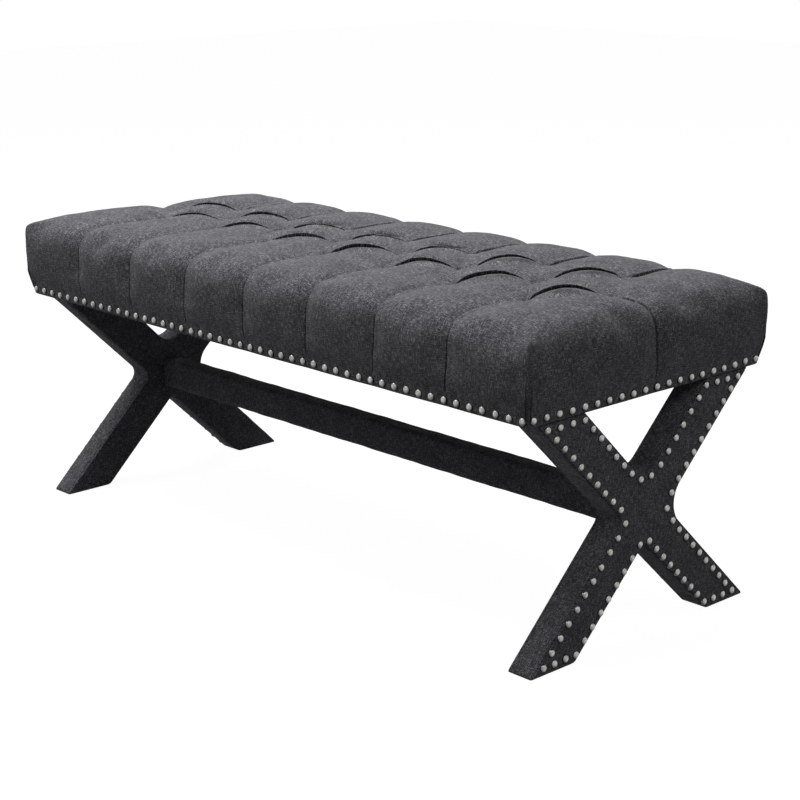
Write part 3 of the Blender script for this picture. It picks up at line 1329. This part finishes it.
@dataclass
class StretcherCover:
    """The padded sleeve of the stretcher, sewn shut along its underside."""

    half_length: float = 557.5
    width: float = 36.0
    height: float = 52.0
    middle: float = 192.0
    edge_radius: float = 5.5

    def build(self) -> bpy.types.Object:
        """Builds the sleeve as rings along the bar."""
        half_y, half_z = self.width / 2, self.height / 2
        corners = [(half_y, -half_z), (half_y, half_z), (-half_y, half_z), (-half_y, -half_z)]
        path = rounded_path([(y, z, self.edge_radius) for y, z in corners], True, 2.6)
        stations = np.linspace(-self.half_length, self.half_length, 2 * round(self.half_length / 6) + 1)
        chord = np.roll(path, -1, axis=0) - np.roll(path, 1, axis=0)
        outward = unit(np.stack([chord[:, 1], -chord[:, 0]], axis=1))
        run = np.arange(len(path) + 1) * np.linalg.norm(path[1] - path[0])
        along, ring = np.repeat(stations, len(path)), np.tile(path, (len(stations), 1))
        lift = self.relief(along, ring, np.tile(run[:-1], len(stations)))
        points = np.column_stack([along, ring + np.tile(outward, (len(stations), 1)) * lift[:, None]])
        points[:, 2] += self.middle
        numbers = np.arange(len(points)).reshape(len(stations), -1)
        first, last, tip = numbers[0], numbers[-1], np.full(len(path), len(points))
        caps = [np.column_stack([first, np.roll(first, -1), tip]), np.column_stack([np.roll(last, -1), last, tip + 1])]
        caps = np.concatenate(caps)
        tips = np.array([[-self.half_length, 0, self.middle], [self.half_length, 0, self.middle]])
        vertices = np.concatenate([points, tips])
        flat = [grid_quads(crossings(stations, run)).reshape(-1, 2), vertices[caps][..., 1:].reshape(-1, 2)]
        return make_piece("stretcher_sleeve", vertices, [ring_quads(numbers), caps], np.concatenate(flat))

    def relief(self, along: np.ndarray, ring: np.ndarray, run: np.ndarray) -> np.ndarray:
        """Says how far the cloth stands out: fullest in the middle of a face, gathered at its ends, with a seam below.

        Args:
            along: Places along the bar.
            ring: Places round it, in Y and Z from its middle.
            run: The same as distances round it.

        Returns:
            The height at each place.
        """
        half_y, half_z = self.width / 2, self.height / 2
        to_end = self.half_length - np.abs(along)
        crowned = 0.9 * np.cos(ring[:, 0] / half_y * math.pi / 2) + 0.9 * np.cos(ring[:, 1] / half_z * math.pi / 2)
        waves = 0.45 * random_waves(np.column_stack([along / 2.2, ring]), 61, 60, 16)
        gather = 0.35 * np.cos(run * 2 * math.pi / 17) * np.exp(-(to_end / 16))
        seam = 1.1 * (ring[:, 1] < -half_z + 2) * bell(ring[:, 0] - 6, 1.6)
        return (crowned - 0.6 + waves) * ease(to_end / 30) + gather - seam


@dataclass
class NailRow:
    """A group of decorative nails: one domed head modelled by hand and copied to every place of the CAD group."""

    node: str
    outward: tuple[float, float, float]
    proud: float = 0.0  # how far the cloth stands out from the CAD plane under the heads
    radius: float = 5.8
    height: float = 3.5
    let_in: float = 1.6  # how deep the rim stands in the cloth
    steps: tuple[tuple[float, float], ...] = ((1.0, 1.9), (0.97, 1.2), (0.76, 1.15), (0.52, 0.7))  # taper and rise

    @staticmethod
    def crowns(node: str) -> np.ndarray:
        """Finds the crown points of a CAD nail group, in millimetres.

        Args:
            node: The node's name.

        Returns:
            One row for each nail.
        """
        points = read_points(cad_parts[node].data)
        facing = 1 if node.startswith(("front", "rear")) else 0
        outer = np.abs(points[:, facing])
        found = np.unique(np.round(points[outer > outer.max() - 0.05], 2), axis=0)
        if "frame" in node:  # the rows sit a little to the front, and turn more sharply at the waist
            waist = bell(found[:, 2] - 192, 15) * (np.abs(found[:, 1]) > 35)
            found[:, 1] -= 1.2 + waist * np.where(found[:, 1] > 0, 9, -4)
        return found

    def build(self) -> bpy.types.Object:
        """Copies one head to every nail's place, none quite straight, and joins the copies."""
        random = np.random.default_rng(sum(map(ord, self.node)))
        head = model_round(10, self.radius, self.steps, 70, low=-self.let_in, crown=0.25)
        copies = []
        out = Vector(self.outward)
        for crown in self.crowns(self.node):
            lean = Vector(random.normal(0, 0.05, 3))
            aside = Vector(random.normal(0, 0.35, 3)).cross(out)
            copy = copy_to(head, Vector(crown) - out * (self.height - self.proud) + aside)
            copy.rotation_mode = "QUATERNION"
            copy.rotation_quaternion = (out + lean).to_track_quat("Z", "Y")
            copies.append(copy)
        bpy.data.objects.remove(head)
        row = join(copies, self.node.replace("nails", "nail_heads"))
        self.tarnish(row, len(copies))
        return row

    def tarnish(self, row: bpy.types.Object, count: int) -> None:
        """Marks the rim of each head, most of all below its crown, where the plate is duller.

        Args:
            row: The joined heads.
            count: How many there are.
        """
        points = read_points(row.data).reshape(count, -1, 3)
        offset = points - points.mean(axis=1, keepdims=True)
        offset *= 1 - np.abs(np.array(self.outward))
        rim, low = np.linalg.norm(offset, axis=2) / self.radius, -offset[..., 2] / self.radius
        add_attribute(row.data, DULL_RIM, np.clip(0.8 * rim**2 + 0.6 * low, 0, 1))


@dataclass
class TuftTwines:
    """Waxed twine from a knot under the deck up to each tuft."""

    places: list[tuple[float, float]]
    tops: np.ndarray
    knot_low: float = 431.5
    radius: float = 1.5
    knot: tuple[tuple[float, float], ...] = ((2.2, 1.0), (1.25, 1.5), (0.8, 1.5), (0.5, 1.0))  # taper and rise
    cord: tuple[tuple[float, float], ...] = ((0.85, 4.0), (1.1, 10.0), (0.9, 20.0))

    def build(self) -> bpy.types.Object:
        """Models one twine with its knot, then copies it to every tuft and draws it up to the cover."""
        twine = model_round(8, self.radius, self.knot + self.cord, 50)
        copies = []
        for (x, y), top in zip(self.places, self.tops):
            copy = copy_to(twine, Vector((x, y, self.knot_low)))
            for vertex in copy.data.vertices:
                if vertex.co.z > 30 * MM:  # only the upper end
                    vertex.co.z = (top - self.knot_low) * MM
            copies.append(copy)
        bpy.data.objects.remove(twine)
        return join(copies, "tuft_twines")


@dataclass
class DustCover:
    """Thin black cloth stapled flat under the seat, cut away round the tops of the arms."""

    half_length: float = 593.5
    half_depth: float = 238.0
    notch_x: float = 556.0
    notch_y: float = 131.0
    top: float = 372.0
    thickness: float = 0.7
    droop: float = 2.6

    def build(self) -> bpy.types.Object:
        """Builds both faces of the cloth and its edge, with a slight droop between the rails."""
        corner = [
            (self.half_length, self.notch_y),
            (self.notch_x, self.notch_y),
            (self.notch_x, self.half_depth),
        ]
        around = corner + [(-x, y) for x, y in corner[::-1]]
        around += [(-x, -y) for x, y in corner] + [(x, -y) for x, y in corner[::-1]]
        path = rounded_path([(x, y, 3.0) for x, y in around], True, 9.0)
        grid = crossings(np.arange(-585, 586, 15.0), np.arange(-225, 226, 15.0)).reshape(-1, 2)
        keep = (np.abs(grid[:, 0]) < self.notch_x - 6) | (np.abs(grid[:, 1]) < self.notch_y - 6)
        flat, faces, renumbered = triangulate(np.concatenate([path, grid[keep]]), np.arange(len(path)))
        loop = renumbered[: len(path)]
        depth = depth_in(flat, path)
        sag = self.droop * ease(depth / 90) + 0.25 * random_waves(flat, 71, 160, 45) * ease(depth / 25)
        pucker = 0.3 * np.cos(flat[:, 0] * 2 * math.pi / 40) * bell(depth, 14) * (depth > 1)
        low = self.top - self.thickness - np.maximum(sag + pucker, -0.1)
        vertices = np.concatenate([np.column_stack([flat, low + self.thickness]), np.column_stack([flat, low])])
        groups = [faces, faces[:, ::-1] + len(flat), ring_quads([loop, loop + len(flat)])]
        cloth = [vertices[group][..., :2].reshape(-1, 2) for group in groups]
        return make_piece("dust_cloth", vertices, groups, np.concatenate(cloth))


# Studio
@dataclass
class PhotoCamera:
    """The camera of the photograph, found from the object's own edges."""

    place: tuple[float, float, float] = (2276.06, -2010.71, 1081.84)
    azimuth: float = 45.38
    elevation: float = 14.04
    focal: float = 1877.58  # pixels
    middle: tuple[float, float] = (468.63, 354.13)  # where the lens axis meets the picture, in pixels

    def build(self) -> None:
        """Puts the camera in the scene."""
        turn, rise = math.radians(self.azimuth), math.radians(self.elevation)
        back = Vector((math.sin(turn) * math.cos(rise), -math.cos(turn) * math.cos(rise), math.sin(rise)))
        data = bpy.data.cameras.new("photo_camera")
        camera = add_object("photo_camera", data)
        camera.location = Vector(self.place) * MM
        camera.rotation_mode = "QUATERNION"
        camera.rotation_quaternion = (-back).to_track_quat("-Z", "Y")
        data.sensor_width = 36
        data.lens = self.focal * 36 / PHOTO_SIDE
        data.shift_x = -(self.middle[0] - PHOTO_SIDE / 2) / PHOTO_SIDE
        data.shift_y = (self.middle[1] - PHOTO_SIDE / 2) / PHOTO_SIDE
        bpy.context.scene.camera = camera


@dataclass
class SoftBox:
    """A large lamp with a plain face."""

    name: str
    place: tuple[float, float, float]
    aim: tuple[float, float, float]
    size: tuple[float, float]
    watts: float

    def build(self) -> None:
        """Hangs the lamp and turns it to its aim."""
        data = bpy.data.lights.new(self.name, "AREA")
        data.shape = "RECTANGLE"
        data.size, data.size_y = self.size
        data.energy = self.watts
        lamp = add_object(self.name, data)
        lamp.location = self.place
        lamp.rotation_mode = "QUATERNION"
        lamp.rotation_quaternion = (Vector(self.aim) - Vector(self.place)).to_track_quat("-Z", "Y")


@dataclass
class Studio:
    """A white sweep with one broad lamp overhead and weak fills."""

    world: float = 0.11
    floor_half: float = 9.0
    floor_glow: float = 0.97
    lamps: list[SoftBox] = field(
        default_factory=lambda: [
            SoftBox("overhead_softbox", (-0.8, 0.05, 2.7), (-0.2, 0, 0.45), (2.6, 2.2), 72),
            SoftBox("front_fill", (-1.5, -2.6, 2.7), (-0.1, 0, 0.35), (1.1, 0.8), 13),
            SoftBox("end_fill", (2.4, -0.5, 2.3), (0.6, 0, 0.35), (0.9, 0.7), 7),
        ]
    )

    def build(self) -> None:
        """Sets the view transform, the world, the floor and the lamps."""
        bpy.context.scene.view_settings.view_transform = "Standard"
        self.build_world()
        self.build_floor()
        for lamp in self.lamps:
            lamp.build()

    def build_world(self) -> None:
        """Makes the world soft light, and white where it is seen or mirrored."""
        world = bpy.data.worlds.new("white_sweep")
        world.use_nodes = True
        bpy.context.scene.world = world
        tree = world.node_tree
        tree.nodes.clear()
        seen = self.seen_rays(tree)
        strength = add_node(tree, "MapRange", {"Value": seen, "To Min": self.world, "To Max": 1.0})
        glow = add_node(tree, "Background", {"Color": (1, 1, 1, 1), "Strength": strength})
        add_node(tree, "OutputWorld", {"Surface": glow})

    def seen_rays(self, tree: bpy.types.NodeTree) -> bpy.types.Node:
        """Gives 1 for rays that show the background straight, in a reflection or through glass."""
        rays = add_node(tree, "LightPath").outputs
        either = add_node(tree, "Math", {0: rays["Is Camera Ray"], 1: rays["Is Glossy Ray"]}, operation="MAXIMUM")
        return add_node(tree, "Math", {0: either, 1: rays["Is Transmission Ray"]}, operation="MAXIMUM")

    def build_floor(self) -> None:
        """Lays a grey floor that takes the bench's shadow: it glows to the eye only, so it throws little light up."""
        bpy.ops.object.select_all(action="DESELECT")
        bpy.ops.mesh.primitive_plane_add(size=2 * self.floor_half, location=(0, 0, 0))
        floor = bpy.context.object
        floor.name = "studio_floor"
        paper = bpy.data.materials.new("white_paper_sweep")
        paper.use_nodes = True
        tree = paper.node_tree
        tree.nodes.clear()
        place = add_node(tree, "TexCoord").outputs["Object"]
        fibre = add_node(tree, "TexNoise", {"Vector": place, "Scale": 300.0, "Detail": 2.0})
        colour = add_node(tree, "ValToRGB", {"Fac": fibre}, stops=[(0.3, "#6a6a6a"), (0.7, "#707070")])
        seen = add_node(tree, "Math", {0: self.seen_rays(tree), 1: self.floor_glow}, operation="MULTIPLY")
        glow = {"Emission Color": (1, 1, 1, 1), "Emission Strength": seen}
        matt = {"Base Color": colour, "Roughness": 0.9, "Specular IOR Level": 0.0}
        add_node(tree, "OutputMaterial", {"Surface": add_node(tree, "BsdfPrincipled", matt | glow)})
        floor.data.materials.append(paper)


@dataclass
class CarriedOver:
    """CAD nodes whose shape is right, each with the finish of what it is."""

    finishes: dict[Finish, tuple[str, ...]] = field(
        default_factory=lambda: {
            Timber("planed_pine_long"): ("front_rail", "rear_rail", "stretcher_rail"),
            Timber("planed_pine_cross", grain=Grain.ALONG_Y): (
                "left_end_rail", "right_end_rail", "left_cross_rail", "right_cross_rail"
            ),
            Timber("planed_pine_rising", grain=Grain.RISING): (
                "corner_blocks", "left_leg_front", "left_leg_rear", "right_leg_front", "right_leg_rear"
            ),
            Timber("birch_plywood", light="#dcc49a", dark="#c4a271", ring=14.0): ("seat_deck",),
            Speckled("zinc_plated_steel", "#c3c6c8", "#9fa2a5", 2.0, 0.35, metallic=1.0, relief=0.1): (
                "coach_screws",
            ),
            Speckled("moulded_black_polyethylene", "#26262a", "#17171a", 0.9, 0.5): ("foot_glides",),
        }
    )  # fmt: skip

    def dress(self) -> None:
        """Puts each finish on its nodes."""
        for finish, names in self.finishes.items():
            for name in names:
                finish.put_on(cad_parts[name])


def add_piece(piece: bpy.types.Object, finish: Finish, slot: str, *nodes: str) -> None:
    """Dresses a finished piece, says which CAD nodes it stands for and reports it.

    Args:
        piece: The piece.
        finish: Its finish.
        slot: The record's material slot.
        nodes: The CAD nodes it replaces.
    """
    finish.put_on(piece)
    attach(piece, "root")
    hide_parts(*nodes)
    LOG.info("%s: %d faces, for %s", piece.name, len(piece.data.polygons), ", ".join(nodes))


def main() -> None:
    """Builds the scene piece by piece."""
    logging.basicConfig(level=logging.INFO, format="%(name)s: %(message)s")
    PhotoCamera().build()
    Studio().build()
    CarriedOver().dress()
    seat = TuftedSeat()
    cushion = seat.build()
    add_piece(cushion, LINEN, "charcoal_linen", "seat_cover", "wadding_layer", "foam_slab")
    twines = TuftTwines(seat.tufts, seat.tuft_heights - 5).build()
    add_piece(twines, TWINE, "twine", "tuft_ties")
    for side, name in ((1, "right"), (-1, "left")):
        sleeve = FrameCover(side).build()
        add_piece(sleeve, LINEN, "charcoal_linen", f"{name}_frame_cover")
        add_piece(NailRow(f"{name}_frame_nails", (side, 0, 0)).build(), NICKEL, "nickel_nails", f"{name}_frame_nails")
        end_row = NailRow(f"{name}_end_nails", (side, 0, 0), proud=1.0)
        add_piece(end_row.build(), NICKEL, "nickel_nails", end_row.node)
    for node, outward in (("front_nails", (0, -1, 0)), ("rear_nails", (0, 1, 0))):
        add_piece(NailRow(node, outward, proud=1.0).build(), NICKEL, "nickel_nails", node)
    stretcher = StretcherCover().build()
    add_piece(stretcher, LINEN, "charcoal_linen", "stretcher_cover")
    under = DustCover()
    cloth = under.build()
    add_piece(cloth, DUST_CLOTH, "dust_cloth", "dust_cover")


if __name__ == "__main__":
    main()
